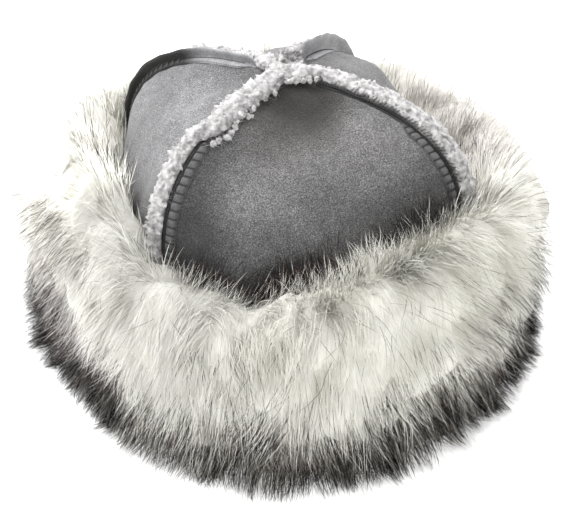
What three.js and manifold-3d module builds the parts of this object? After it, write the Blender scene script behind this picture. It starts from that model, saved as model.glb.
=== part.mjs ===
// Fur-trimmed winter hat: a four-panel crown of bonded suede and fleece with raised seams, in a deep fur cuff.
// Sizes are in millimetres, +Z up, the front panel faces -Y.
import * as THREE from "three";
import Module from "manifold-3d";

// Crown
const APEX_HEIGHT = 178;
const DOME_HEIGHT = 86;
const RIM_HEIGHT = 8;
const RIM_DRAW_IN = 5;
const WALL = 6;
const SIDE_RADIUS = 97;
const SIDE_FLATNESS = 2.1;
const APEX_HOLE_RADIUS = 1.2;
const PIECE_GAP = 0.34;
const PANEL_COLUMNS = 8;

// Seams and strips
const STRIP_GAP = 0.72;
const STRIP_START = 0.7;
const STRIP_END_HEIGHT = 93.5;
const MITRE_GAP = 0.2;
const CUT_TOLERANCE = 0.04;
const STITCH_PITCH = 4.8;
const EDGE_FOOT = 6.2;
const EDGE_FOOT_THICKNESS = 1.7;
const EDGE_FIN_THICKNESS = 2.4;
const FIN_FALL_FROM = 0.6;
const FIN_FALL = 0.35;
const STITCH_RELIEF = 0.8;
const CURL_RELIEF = 1.1;
const FLEECE_STEP = 5.8;

// Cuff
const CUFF_GAP = 0.45;
const CORE_RADIUS = 136;
const FULL_RISE_UP = 100;
const FULL_RISE_OUT = 0.34;
const CORE_STEPS_PER_PANEL = 8;
const LOCK_KNOTS = 3;
const LOCK_NOTCH = 0.56;
const LOCK_SWAY = 9;
const FLOOR_CLEARANCE = 0.4;
const CUFF_TOLERANCE = 1.1;

// The four seams, anticlockwise from the front left. Boxiness is 2 for a round dome over the seam and more for a
// square one. The turn is the side that the fleece shows on: +1 for the next panel anticlockwise, -1 for the panel
// before. The suede edge starts at the share edge_from of the seam, and its folded fin stands fin mm high.
const SEAMS = [
  { name: "front_left", angle: 217.5, radius: 110, boxiness: 3.2, turn: -1, edge_from: 0.46, fin: 6 },
  { name: "front_right", angle: 313.5, radius: 116, boxiness: 3.3, turn: 1, edge_from: 0.1, fin: 5 },
  { name: "back_right", angle: 49.5, radius: 105, boxiness: 1.85, turn: 1, edge_from: 0.16, fin: 8.5 },
  { name: "back_left", angle: 135, radius: 111, boxiness: 2.6, turn: -1, edge_from: 0.16, fin: 6.8 },
];

// Each panel lies between two seams, anticlockwise, and has its own boxiness in the middle.
const PANELS = [
  { name: "front", from: 0, to: 1, boxiness: 2.25 },
  { name: "right", from: 1, to: 2, boxiness: 1.95 },
  { name: "back", from: 2, to: 3, boxiness: 2.05 },
  { name: "left", from: 3, to: 0, boxiness: 2.2 },
];

// Soft hollows in the panels: across is 0 to 1 between the seams, reach is plan radius, depth and spread in mm.
const DENTS = [
  { panel: 0, across: 0.56, reach: 42, depth: 5.5, spread: 22 },
  { panel: 0, across: 0.06, reach: 100, depth: 3.0, spread: 24 },
  { panel: 1, across: 0.4, reach: 66, depth: 8.0, spread: 34 },
  { panel: 2, across: 0.5, reach: 46, depth: 4.0, spread: 24 },
  { panel: 3, across: 0.55, reach: 44, depth: 3.5, spread: 22 },
];

// Fleece strip along a seam: share is 0 at the apex and 1 at the fur, near and far are the distances of its two
// borders from the seam towards the fleece side, height is its thickness. At the front left it flops over the seam.
const FLEECE_FRONT_LEFT = [
  { share: 0.0, near: -9.0, far: 9.0, height: 6.5 },
  { share: 0.2, near: -7.5, far: 4.5, height: 7.5 },
  { share: 0.4, near: -6.5, far: 4.5, height: 8.0 },
  { share: 0.46, near: 0.6, far: 10.0, height: 8.0 },
  { share: 0.8, near: 0.6, far: 12.0, height: 8.0 },
  { share: 1.0, near: 0.6, far: 9.0, height: 6.5 },
];
const FLEECE_FRONT_RIGHT = [
  { share: 0.0, near: -8.0, far: 8.0, height: 6.5 },
  { share: 0.06, near: -6.5, far: 9.5, height: 7.0 },
  { share: 0.1, near: 0.6, far: 11.5, height: 7.5 },
  { share: 0.35, near: 0.6, far: 18.0, height: 8.0 },
  { share: 0.8, near: 0.6, far: 18.0, height: 8.0 },
  { share: 1.0, near: 0.6, far: 12.0, height: 4.0 },
];
const FLEECE_BACK = [
  { share: 0.0, near: -8.0, far: 9.0, height: 6.5 },
  { share: 0.08, near: -6.0, far: 9.5, height: 7.0 },
  { share: 0.13, near: 0.6, far: 10.5, height: 6.0 },
  { share: 0.22, near: 0.6, far: 11.5, height: 4.5 },
  { share: 0.6, near: 0.6, far: 12.0, height: 4.5 },
  { share: 1.0, near: 0.6, far: 10.0, height: 4.5 },
];
const FLEECE = [FLEECE_FRONT_LEFT, FLEECE_FRONT_RIGHT, FLEECE_BACK, FLEECE_BACK];

// Shape of the cuff all round, as millimetres of rise above its section and of width past its radius: it is pushed up
// at the left and the front right, sags at the front left, and is widest at its two sides.
const CUFF_SHAPE = [
  { angle: 0, rise: 4, wide: 3 },
  { angle: 40, rise: 0, wide: 0 },
  { angle: 110, rise: 0, wide: 0 },
  { angle: 150, rise: 8, wide: 5 },
  { angle: 176, rise: 26, wide: 3 },
  { angle: 190, rise: 33, wide: 0 },
  { angle: 202, rise: 32, wide: -3 },
  { angle: 212, rise: 18, wide: -3 },
  { angle: 221, rise: 0, wide: -2 },
  { angle: 238, rise: -7, wide: 0 },
  { angle: 262, rise: -2, wide: 0 },
  { angle: 284, rise: 12, wide: 0 },
  { angle: 302, rise: 25, wide: 0 },
  { angle: 326, rise: 14, wide: 3 },
  { angle: 344, rise: 8, wide: 5 },
  { angle: 360, rise: 4, wide: 3 },
];

// Section of the cuff's core: out is 0 at the crown wall and 1 at the core radius, up is the height.
const CORE_SECTION = [
  { name: "inner_foot", out: 0.0, up: 7 },
  { name: "inner_top", out: 0.0, up: 78 },
  { name: "collar", out: 0.36, up: 84 },
  { name: "crest", out: 0.66, up: 106 },
  { name: "shoulder", out: 0.94, up: 92 },
  { name: "side", out: 1.04, up: 56 },
  { name: "heel", out: 1.0, up: 14 },
  { name: "sole_out", out: 0.8, up: 0 },
  { name: "sole_in", out: 0.18, up: 0 },
];

// Rings of fur locks: roots on the core at out and up, length and thickness, the pitch of a lock at its root and at
// its tip (90 is straight up, 0 straight out, -90 straight down), and how many locks the ring has.
const LOCK_RINGS = [
  { name: "collar", out: 0.5, up: 92, length: 31, thick: 8, root_pitch: 88, tip_pitch: 44, count: 16 },
  { name: "crest", out: 0.68, up: 98, length: 33, thick: 11, root_pitch: 48, tip_pitch: -30, count: 16 },
  { name: "shoulder", out: 0.82, up: 92, length: 38, thick: 12, root_pitch: -4, tip_pitch: -80, count: 17 },
  { name: "side", out: 0.9, up: 72, length: 38, thick: 12, root_pitch: -22, tip_pitch: -76, count: 17 },
  { name: "skirt", out: 0.9, up: 48, length: 36, thick: 12, root_pitch: -22, tip_pitch: -62, count: 17 },
  { name: "hem", out: 0.84, up: 20, length: 32, thick: 12, root_pitch: -14, tip_pitch: -26, count: 15 },
];

const RADIANS = Math.PI / 180;
const wasm = await Module();
wasm.setup();

// A repeatable stream of numbers from 0 to 1.
function seeded(seed) {
  let state = seed >>> 0;
  return () => {
    state = (Math.imul(state, 1664525) + 1013904223) >>> 0;
    return state / 4294967296;
  };
}

// The value of a column at a share, read off a short table with straight lines between its rows.
function readTable(table, share, column) {
  const last = table[table.length - 1];
  if (share >= last.share) return last[column];
  const next = table.findIndex((row) => row.share > share);
  if (next <= 0) return table[0][column];
  const a = table[next - 1];
  const b = table[next];
  const part = (share - a.share) / (b.share - a.share);
  return a[column] + (b[column] - a[column]) * part;
}

// Which panel an angle falls in, and how far across it.
function panelAt(angle) {
  for (let index = 0; index < PANELS.length; index += 1) {
    const start = SEAMS[PANELS[index].from].angle;
    const span = spanBetween(SEAMS[PANELS[index].from], SEAMS[PANELS[index].to]);
    const turned = (((angle - start) % 360) + 360) % 360;
    if (turned <= span) return { index, across: turned / span };
  }
  return { index: 0, across: 0 };
}

// Plan radius and boxiness of the crown at an angle: a rounded square with its corners at the seams.
function planAt(angle) {
  const { index, across } = panelAt(angle);
  const from = SEAMS[PANELS[index].from];
  const to = SEAMS[PANELS[index].to];
  const corner = from.radius + (to.radius - from.radius) * across;
  const square = from.boxiness + (to.boxiness - from.boxiness) * across;
  const side = PANELS[index].boxiness;
  const edge = Math.abs(2 * across - 1) ** SIDE_FLATNESS;
  return {
    index,
    across,
    radius: SIDE_RADIUS + (corner - SIDE_RADIUS) * edge,
    boxiness: side + (square - side) * edge,
  };
}

// A point of the crown's outer face, drawn in by inset. Profile runs 0 at the apex, 1 at the foot of the dome,
// 2 at the rim.
function crownPoint(angle, profile, inset = 0) {
  const plan = planAt(angle);
  const radius = plan.radius - inset;
  const power = 2 / plan.boxiness;
  const bend = Math.min(profile, 1) * 90 * RADIANS;
  let reach = radius * Math.sin(bend) ** power;
  let height = APEX_HEIGHT - inset - DOME_HEIGHT * (1 - Math.max(Math.cos(bend), 0) ** power);
  if (profile > 1) {
    const down = profile - 1;
    const foot = APEX_HEIGHT - inset - DOME_HEIGHT;
    height = foot + (RIM_HEIGHT - foot) * down;
    reach = radius - RIM_DRAW_IN * down;
  }
  for (const dent of DENTS) {
    if (dent.panel !== plan.index) continue;
    const away = (plan.across - dent.across) * 1.57 * Math.max(reach, 10);
    const distance = Math.hypot(away, reach - dent.reach);
    const edge = Math.min(1, 6 * plan.across * (1 - plan.across));
    const push = edge * dent.depth * Math.exp(-((distance / dent.spread) ** 2));
    height -= push * (profile < 1 ? Math.cos(bend) : 0);
    reach -= push * Math.sin(bend);
  }
  const turned = angle * RADIANS;
  return new THREE.Vector3(reach * Math.cos(turned), reach * Math.sin(turned), height);
}

// The profile value at which a dome reaches a plan radius.
function profileAtReach(angle, reach) {
  const plan = planAt(angle);
  const ratio = Math.min(1, reach / plan.radius);
  return Math.asin(ratio ** (plan.boxiness / 2)) / (90 * RADIANS);
}

// Outward direction of the crown's face.
function crownNormal(angle, profile) {
  const step = 0.02;
  const middle = Math.max(profile, 3 * step);
  const along = crownPoint(angle, middle + step).sub(crownPoint(angle, middle - step));
  const round = crownPoint(angle + 1, middle).sub(crownPoint(angle - 1, middle));
  return along.cross(round).normalize();
}

// A closed mesh from rings of points, each ring joined to the next, with both end rings capped by fans.
function ringsToGeometry(rings, closed = false) {
  const sides = rings[0].length;
  const points = rings.flat();
  const faces = [];
  const loops = closed ? rings.length : rings.length - 1;
  for (let ring = 0; ring < loops; ring += 1) {
    const here = ring * sides;
    const there = ((ring + 1) % rings.length) * sides;
    for (let side = 0; side < sides; side += 1) {
      const next = (side + 1) % sides;
      faces.push(here + side, here + next, there + next);
      faces.push(here + side, there + next, there + side);
    }
  }
  if (!closed) {
    const end = (rings.length - 1) * sides;
    for (let side = 1; side < sides - 1; side += 1) {
      faces.push(0, side + 1, side);
      faces.push(end, end + side, end + side + 1);
    }
  }
  const geometry = new THREE.BufferGeometry();
  const flat = points.flatMap((point) => [point.x, point.y, point.z]);
  geometry.setAttribute("position", new THREE.Float32BufferAttribute(flat, 3));
  geometry.setIndex(faces);
  return geometry;
}

// The geometry with its faces turned to look outwards.
function facingOut(geometry) {
  const index = geometry.getIndex().array;
  const position = geometry.getAttribute("position");
  const a = new THREE.Vector3();
  const b = new THREE.Vector3();
  const c = new THREE.Vector3();
  let volume = 0;
  for (let i = 0; i < index.length; i += 3) {
    a.fromBufferAttribute(position, index[i]);
    b.fromBufferAttribute(position, index[i + 1]);
    c.fromBufferAttribute(position, index[i + 2]);
    volume += a.dot(b.cross(c));
  }
  if (volume < 0) {
    for (let i = 0; i < index.length; i += 3) {
      const kept = index[i + 1];
      index[i + 1] = index[i + 2];
      index[i + 2] = kept;
    }
  }
  return geometry;
}

// A hollow panel wall between two seams.
function panelGeometry(panel) {
  const columns = PANEL_COLUMNS;
  const start = SEAMS[panel.from].angle;
  const span = spanBetween(SEAMS[panel.from], SEAMS[panel.to]);
  const profiles = [];
  const middle = start + span / 2;
  const first = profileAtReach(middle, APEX_HOLE_RADIUS + 1);
  for (const share of [0, 0.1, 0.22, 0.35, 0.48, 0.61, 0.74, 0.88]) {
    profiles.push(first + (1 - first) * share);
  }
  profiles.push(1, 1.35, 1.7, 2);
  // One ring is a cut through the wall along the profile: down the outside, then up the inside.
  const rings = [];
  for (let column = 0; column <= columns; column += 1) {
    const ring = [];
    for (const inset of [0, WALL]) {
      const order = inset ? [...profiles].reverse() : profiles;
      for (const profile of order) {
        const rough = start + (span * column) / columns;
        const reach = Math.hypot(crownPoint(rough, profile, inset).x, crownPoint(rough, profile, inset).y);
        const slack = PIECE_GAP / 2 / Math.max(reach, 0.8) / RADIANS;
        const angle = start + slack + ((span - 2 * slack) * column) / columns;
        ring.push(crownPoint(angle, profile, inset));
      }
    }
    rings.push(ring);
  }
  return panelRings(rings, profiles.length);
}

// Joins the panel's cuts, and closes its two seam edges with strips between the outer and inner face.
function panelRings(rings, rows) {
  const sides = rings[0].length;
  const faces = [];
  for (let ring = 0; ring < rings.length - 1; ring += 1) {
    for (let side = 0; side < sides; side += 1) {
      const next = (side + 1) % sides;
      const here = ring * sides;
      const there = here + sides;
      faces.push(here + side, here + next, there + next);
      faces.push(here + side, there + next, there + side);
    }
  }
  const end = (rings.length - 1) * sides;
  for (let row = 0; row < rows - 1; row += 1) {
    const outer = row;
    const inner = sides - 1 - row;
    faces.push(outer, inner, inner - 1);
    faces.push(outer, inner - 1, outer + 1);
    faces.push(end + outer, end + inner - 1, end + inner);
    faces.push(end + outer, end + outer + 1, end + inner - 1);
  }
  const geometry = new THREE.BufferGeometry();
  const flat = rings.flat().flatMap((point) => [point.x, point.y, point.z]);
  geometry.setAttribute("position", new THREE.Float32BufferAttribute(flat, 3));
  geometry.setIndex(faces);
  return facingOut(geometry);
}

// Points along a seam at even distances, each with its profile value and its share of the way to the fur.
function seamStations(seam, spacing) {
  const fine = [];
  let length = 0;
  let before = null;
  for (let profile = profileAtReach(seam.angle, STRIP_START); profile < 2; profile += 0.002) {
    const point = crownPoint(seam.angle, profile);
    if (point.z < STRIP_END_HEIGHT) break;
    if (before) length += point.distanceTo(before);
    before = point;
    fine.push({ profile, length });
  }
  const count = Math.round(length / spacing);
  const stations = [];
  for (let step = 0; step <= count; step += 1) {
    const wanted = (length * step) / count;
    const found = fine.find((entry) => entry.length >= wanted - 1e-6);
    stations.push({ profile: found.profile, share: step / count });
  }
  return stations;
}

// A point beside a seam: across is the distance from the seam, up is the height over the crown's face.
function besideSeam(seam, profile, across, up) {
  const onSeam = crownPoint(seam.angle, profile);
  const reach = Math.hypot(onSeam.x, onSeam.y);
  const angle = seam.angle + Math.atan2(across, reach) / RADIANS;
  const wide = Math.hypot(reach, across);
  const domed = profileAtReach(angle, wide);
  const blend = Math.min(1, Math.max(0, (reach - 45) / 30));
  const used = domed + (profile - domed) * blend;
  const face = crownPoint(angle, used);
  return face.addScaledVector(crownNormal(angle, used), up);
}

// The largest body of a solid that lies between two upright planes through the middle, at two angles.
function wedgeOf(solid, from, to) {
  const low = from * RADIANS;
  const high = to * RADIANS;
  const bodies = solid
    .trimByPlane([-Math.sin(low), Math.cos(low), 0], MITRE_GAP)
    .trimByPlane([Math.sin(high), -Math.cos(high), 0], MITRE_GAP)
    .simplify(CUT_TOLERANCE)
    .decompose();
  bodies.sort((a, b) => b.volume() - a.volume());
  return bodies[0];
}

// The degrees from one seam to the next, anticlockwise.
function spanBetween(from, to) {
  return (((to.angle - from.angle) % 360) + 360) % 360;
}

// The part of a strip that lies between the middles of the two panels beside its seam.
function mitred(geometry, index) {
  const seam = SEAMS[index];
  const back = spanBetween(SEAMS[(index + 3) % 4], seam);
  const ahead = spanBetween(seam, SEAMS[(index + 1) % 4]);
  return wedgeOf(toSolid(geometry), seam.angle - back / 2, seam.angle + ahead / 2);
}

// The suede edge of a seam: a foot with the ladder stitch, and the folded fin beside the fleece.
function edgeGeometry(seam) {
  const stations = seamStations(seam, STITCH_PITCH / 2).filter((station) => station.share > seam.edge_from);
  const side = -seam.turn;
  const fin = 0.2;
  const rings = stations.map((station, index) => {
    const relief = index % 2 ? STITCH_RELIEF : 0;
    const low = FIN_FALL * Math.max(0, (station.share - FIN_FALL_FROM) / (1 - FIN_FALL_FROM));
    const section = [
      [fin, STRIP_GAP],
      [fin, STRIP_GAP + seam.fin * (1 - low)],
      [fin + EDGE_FIN_THICKNESS, STRIP_GAP + EDGE_FOOT_THICKNESS - relief],
      [fin + EDGE_FIN_THICKNESS + EDGE_FOOT, STRIP_GAP + EDGE_FOOT_THICKNESS - relief],
      [fin + EDGE_FIN_THICKNESS + EDGE_FOOT, STRIP_GAP],
    ];
    return section.map(([across, up]) => besideSeam(seam, station.profile, side * across, up));
  });
  return facingOut(ringsToGeometry(rings));
}

// The fleece of a seam: a soft strip with curls.
function fleeceGeometry(seam, index) {
  const table = FLEECE[index];
  const random = seeded(71 + index);
  const section = [
    { across: 0, up: 0, free: 0 },
    { across: 0.08, up: 0.8, free: 0.5 },
    { across: 0.5, up: 1, free: 1 },
    { across: 0.84, up: 0.88, free: 1 },
    { across: 1.01, up: 0.5, free: 1 },
    { across: 1, up: 0, free: 0 },
    { across: 0.5, up: 0, free: 0 },
  ];
  const rings = seamStations(seam, FLEECE_STEP).map((station) => {
    const near = readTable(table, station.share, "near");
    const far = readTable(table, station.share, "far");
    const height = readTable(table, station.share, "height");
    return section.map((corner) => {
      const curl = corner.free * (random() - 0.5) * 2 * CURL_RELIEF;
      const sway = corner.free * (random() - 0.3) * CURL_RELIEF;
      const across = near + (far - near) * corner.across + sway;
      return besideSeam(seam, station.profile, seam.turn * across, STRIP_GAP + corner.up * height + curl);
    });
  });
  return fromSolid(mitred(facingOut(ringsToGeometry(rings)), index));
}

// A column of the cuff's shape at an angle.
function shapeAt(angle, column) {
  const turned = ((angle % 360) + 360) % 360;
  const next = Math.max(1, CUFF_SHAPE.findIndex((row) => row.angle > turned));
  const a = CUFF_SHAPE[next - 1];
  const b = CUFF_SHAPE[next];
  const part = (turned - a.angle) / (b.angle - a.angle);
  const smooth = part * part * (3 - 2 * part);
  return a[column] + (b[column] - a[column]) * smooth;
}

// A point of the cuff: out is 0 at the crown wall and 1 at the core radius.
function cuffPoint(angle, out, up) {
  const wall = planAt(angle).radius;
  const down = Math.min(1, Math.max(0, (APEX_HEIGHT - DOME_HEIGHT - up) / (APEX_HEIGHT - DOME_HEIGHT - RIM_HEIGHT)));
  const inner = wall + CUFF_GAP - RIM_DRAW_IN * down;
  const reach = inner + (CORE_RADIUS + shapeAt(angle, "wide") - inner) * out;
  const turned = angle * RADIANS;
  const lifted = Math.min(1, (up / FULL_RISE_UP) ** 2) * Math.min(1, out / FULL_RISE_OUT);
  const height = up + shapeAt(angle, "rise") * lifted;
  return new THREE.Vector3(reach * Math.cos(turned), reach * Math.sin(turned), height);
}

// The core of the cuff: a closed ring round the crown, with a cut at each seam.
function coreGeometry() {
  const rings = [];
  for (const panel of PANELS) {
    const start = SEAMS[panel.from].angle;
    const span = spanBetween(SEAMS[panel.from], SEAMS[panel.to]);
    for (let step = 0; step < CORE_STEPS_PER_PANEL; step += 1) {
      const angle = start + (span * step) / CORE_STEPS_PER_PANEL;
      rings.push(CORE_SECTION.map((row) => cuffPoint(angle, row.out, row.up)));
    }
  }
  return facingOut(ringsToGeometry(rings, true));
}

// A ring of pointed locks, joined at their roots. Every other cut through the ring is a lock's tip, the cuts between
// are the notches.
function lockRingGeometry(row, first, random) {
  const cuts = [];
  for (let step = 0; step < row.count * 2; step += 1) {
    const tip = step % 2 === 0;
    const angle = first + (360 * step) / (row.count * 2);
    const length = row.length * (tip ? 0.86 + 0.28 * random() : LOCK_NOTCH);
    const sway = tip ? (random() - 0.5) * LOCK_SWAY : 0;
    const lift = tip ? (random() - 0.4) * 12 : -6;
    const root = cuffPoint(angle, row.out, row.up);
    const outer = [];
    const inner = [];
    const centre = root.clone();
    for (let knot = 0; knot <= LOCK_KNOTS; knot += 1) {
      const share = knot / LOCK_KNOTS;
      const pitch = (row.root_pitch + (row.tip_pitch - row.root_pitch) * share + lift * share) * RADIANS;
      const heading = (angle + sway * share) * RADIANS;
      const out = new THREE.Vector3(Math.cos(heading), Math.sin(heading), 0);
      const along = out.clone().multiplyScalar(Math.cos(pitch));
      along.z = Math.sin(pitch);
      const over = out.multiplyScalar(-Math.sin(pitch));
      over.z = Math.cos(pitch);
      const half = (row.thick / 2) * (1 - share * share) * (tip ? 1 : 0.62);
      outer.push(centre.clone().addScaledVector(over, half));
      if (knot === 0 || knot === 2) inner.unshift(centre.clone().addScaledVector(over, -half));
      centre.addScaledVector(along, length / LOCK_KNOTS);
    }
    const cut = [...outer, ...inner];
    for (const point of cut) point.z = Math.max(point.z, FLOOR_CLEARANCE);
    cuts.push(cut);
  }
  return facingOut(ringsToGeometry(cuts, true));
}

// A manifold solid from a geometry, and back.
function toSolid(geometry) {
  const position = geometry.getAttribute("position").array;
  const mesh = new wasm.Mesh({
    numProp: 3,
    vertProperties: new Float32Array(position),
    triVerts: new Uint32Array(geometry.getIndex().array),
  });
  mesh.merge();
  return new wasm.Manifold(mesh);
}

function fromSolid(solid) {
  const mesh = solid.getMesh();
  const geometry = new THREE.BufferGeometry();
  const points = [];
  for (let vertex = 0; vertex < mesh.numVert; vertex += 1) {
    points.push(...mesh.vertProperties.subarray(vertex * mesh.numProp, vertex * mesh.numProp + 3));
  }
  geometry.setAttribute("position", new THREE.Float32BufferAttribute(points, 3));
  geometry.setIndex(new THREE.BufferAttribute(new Uint32Array(mesh.triVerts), 1));
  return geometry;
}

// The whole fur cuff: the core with its rings of locks fused on.
function cuffSolid() {
  const random = seeded(2026);
  const solids = [toSolid(coreGeometry())];
  LOCK_RINGS.forEach((row, index) => {
    const first = SEAMS[0].angle + (180 / row.count) * (index % 2);
    solids.push(toSolid(lockRingGeometry(row, first, random)));
  });
  return wasm.Manifold.union(solids).simplify(CUFF_TOLERANCE);
}

// One length of the cuff, round one panel of the crown.
function cuffGeometry(cuff, panel) {
  const from = SEAMS[panel.from];
  const span = spanBetween(from, SEAMS[panel.to]);
  return fromSolid(wedgeOf(cuff, from.angle, from.angle + span));
}

const suede = new THREE.MeshStandardMaterial({ color: 0x6f7073, roughness: 0.9 });
const edging = new THREE.MeshStandardMaterial({ color: 0x4c4d50, roughness: 0.85 });
const fleece = new THREE.MeshStandardMaterial({ color: 0xd9d7d6, roughness: 1 });
const fur = new THREE.MeshStandardMaterial({ color: 0xe9e8e2, roughness: 0.9 });

const hat = new THREE.Group();

function addPiece(name, geometry, material) {
  const mesh = new THREE.Mesh(geometry, material);
  mesh.name = name;
  hat.add(mesh);
}

for (const panel of PANELS) addPiece("panel_" + panel.name, panelGeometry(panel), suede);
for (const seam of SEAMS) addPiece("seam_edge_" + seam.name, edgeGeometry(seam), edging);
SEAMS.forEach((seam, index) => addPiece("seam_fleece_" + seam.name, fleeceGeometry(seam, index), fleece));
const cuff = cuffSolid();
for (const panel of PANELS) addPiece("fur_cuff_" + panel.name, cuffGeometry(cuff, panel), fur);

// The origin is the middle of the outline box, on the floor.
const box = new THREE.Box3().setFromObject(hat);
const centre = box.getCenter(new THREE.Vector3());
hat.position.set(-centre.x, -centre.y, -box.min.z);

export default hat;
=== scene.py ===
"""Dresses the winter hat: suede panels, raised seams of fleece and stitched edge, and a cuff of long fur."""
import math
from types import SimpleNamespace

import bmesh
import bpy
import numpy as np
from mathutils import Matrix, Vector


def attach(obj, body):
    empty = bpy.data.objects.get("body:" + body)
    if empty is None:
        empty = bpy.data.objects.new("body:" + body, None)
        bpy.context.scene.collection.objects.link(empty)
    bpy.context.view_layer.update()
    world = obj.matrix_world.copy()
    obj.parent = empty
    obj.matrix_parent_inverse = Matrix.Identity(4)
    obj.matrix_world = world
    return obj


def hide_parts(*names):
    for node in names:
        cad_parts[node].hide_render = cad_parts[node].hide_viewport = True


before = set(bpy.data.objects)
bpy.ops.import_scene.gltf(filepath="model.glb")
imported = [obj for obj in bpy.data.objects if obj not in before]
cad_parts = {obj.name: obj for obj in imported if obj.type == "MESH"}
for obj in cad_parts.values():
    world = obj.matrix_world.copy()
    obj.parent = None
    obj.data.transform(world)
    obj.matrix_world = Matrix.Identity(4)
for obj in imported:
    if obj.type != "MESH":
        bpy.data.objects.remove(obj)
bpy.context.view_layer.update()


def named(names, rows):
    """A table as named columns, of which the first is the one that the others are read by."""
    return dict(zip(names.split(), np.array(rows, float).T))


def read(table, name, at):
    """A column of a table at each place, with straight lines between the rows."""
    return np.interp(at, next(iter(table.values())), table[name])


# Crown, in millimetres, as in the solids
APEX_HEIGHT = 178.0
DOME_HEIGHT = 86.0
RIM_HEIGHT = 8.0
RIM_DRAW_IN = 5.0
WALL = 6.0
SIDE_RADIUS = 97.0
SIDE_FLATNESS = 2.1
HALF_GAP = 0.17
STRIP_START = 0.7
STRIP_END_HEIGHT = 93.5
STITCH_PITCH = 4.8
CUFF_GAP = 0.45
CORE_RADIUS = 136.0
FULL_RISE_UP = 100.0
FULL_RISE_OUT = 0.34
# Where the crown's axis stands in the frame
CENTRE = np.array([0.2804, -0.3116, 0.0])

# The four seams, anticlockwise from the front left. The turn is the side that the fleece shows on.
SEAM_NAMES = ["front_left", "front_right", "back_right", "back_left"]
SEAM_ANGLE = np.array([217.5, 313.5, 49.5, 135.0])
SEAM_RADIUS = np.array([110.0, 116.0, 105.0, 111.0])
SEAM_BOXINESS = np.array([3.2, 3.3, 1.85, 2.6])
SEAM_TURN = [-1, 1, 1, -1]
PANEL_NAMES = ["front", "right", "back", "left"]
PANEL_BOXINESS = np.array([2.25, 1.95, 2.05, 2.2])

# Hollows in the panels: panel, across, reach, depth and spread
DENTS = [
    (0, 0.56, 42.0, 5.5, 22.0),
    (0, 0.06, 100.0, 3.0, 24.0),
    (1, 0.4, 66.0, 8.0, 34.0),
    (2, 0.5, 46.0, 4.0, 24.0),
    (3, 0.55, 44.0, 3.5, 22.0),
]

# Fleece strips: their borders across the seam and their height, by the share of the way from the apex
# to the fur
FLEECE_COLUMNS = "share near far height"
FLEECE_BACK = named(FLEECE_COLUMNS, [
    (0.0, -5.0, 6.0, 6.5), (0.08, -5.0, 7.5, 7.0), (0.13, 0.6, 9.5, 6.0),
    (0.22, 0.6, 11.0, 4.5), (0.6, 0.6, 12.0, 4.5), (1.0, 0.6, 10.0, 4.5),
])
FLEECE_FRONT_LEFT = named(FLEECE_COLUMNS, [
    (0.0, -6.0, 6.5, 6.5), (0.1, -7.0, 4.5, 7.0), (0.4, -6.5, 4.5, 7.5),
    (0.46, 0.6, 9.0, 7.5), (0.8, 0.6, 10.5, 8.0), (1.0, 0.6, 9.0, 6.5),
])
FLEECE_FRONT_RIGHT = named(FLEECE_COLUMNS, [
    (0.0, -6.0, 7.0, 6.5), (0.06, -6.0, 9.0, 7.5), (0.1, 0.6, 11.5, 8.5),
    (0.35, 0.6, 18.0, 10.5), (0.8, 0.6, 19.0, 11.0), (1.0, 0.6, 13.0, 7.0),
])
FLEECE = [FLEECE_FRONT_LEFT, FLEECE_FRONT_RIGHT, FLEECE_BACK, FLEECE_BACK]

# Shape of the cuff all round: its rise above its section, and how far it stands past its radius
CUFF_SHAPE = named("angle rise past", [
    (0, 4, 3), (40, 0, 0), (110, 0, 0), (150, 8, 5), (176, 26, 3), (190, 33, 0),
    (202, 32, -3), (212, 18, -3), (221, 0, -2), (238, -7, 0), (262, -2, 0), (284, 12, 0),
    (302, 25, 0), (326, 14, 3), (344, 8, 5), (360, 4, 3),
])

# The pile from the crown's wall over the top and down to the sole: where it is rooted, its pitch (over 90
# inwards, 90 up, 0 out, -90 down), its length, and its bend towards the tip
PILE = named("place out up pitch length bend", [
    (0.00, 0.03, 79.0, 112.0, 25.0, 8.0),
    (0.10, 0.18, 84.0, 106.0, 31.0, 4.0),
    (0.22, 0.40, 90.0, 98.0, 33.0, -6.0),
    (0.33, 0.58, 99.0, 72.0, 35.0, -28.0),
    (0.43, 0.74, 99.0, 28.0, 38.0, -46.0),
    (0.54, 0.88, 86.0, -20.0, 41.0, -36.0),
    (0.65, 0.97, 66.0, -47.0, 43.0, -22.0),
    (0.76, 1.00, 45.0, -50.0, 42.0, -16.0),
    (0.86, 0.97, 26.0, -40.0, 40.0, -8.0),
    (0.93, 0.92, 12.0, -24.0, 39.0, 4.0),
    (0.97, 0.84, 6.0, -12.0, 38.0, 6.0),
    (1.00, 0.60, 4.0, -8.0, 28.0, 6.0),
])

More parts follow.
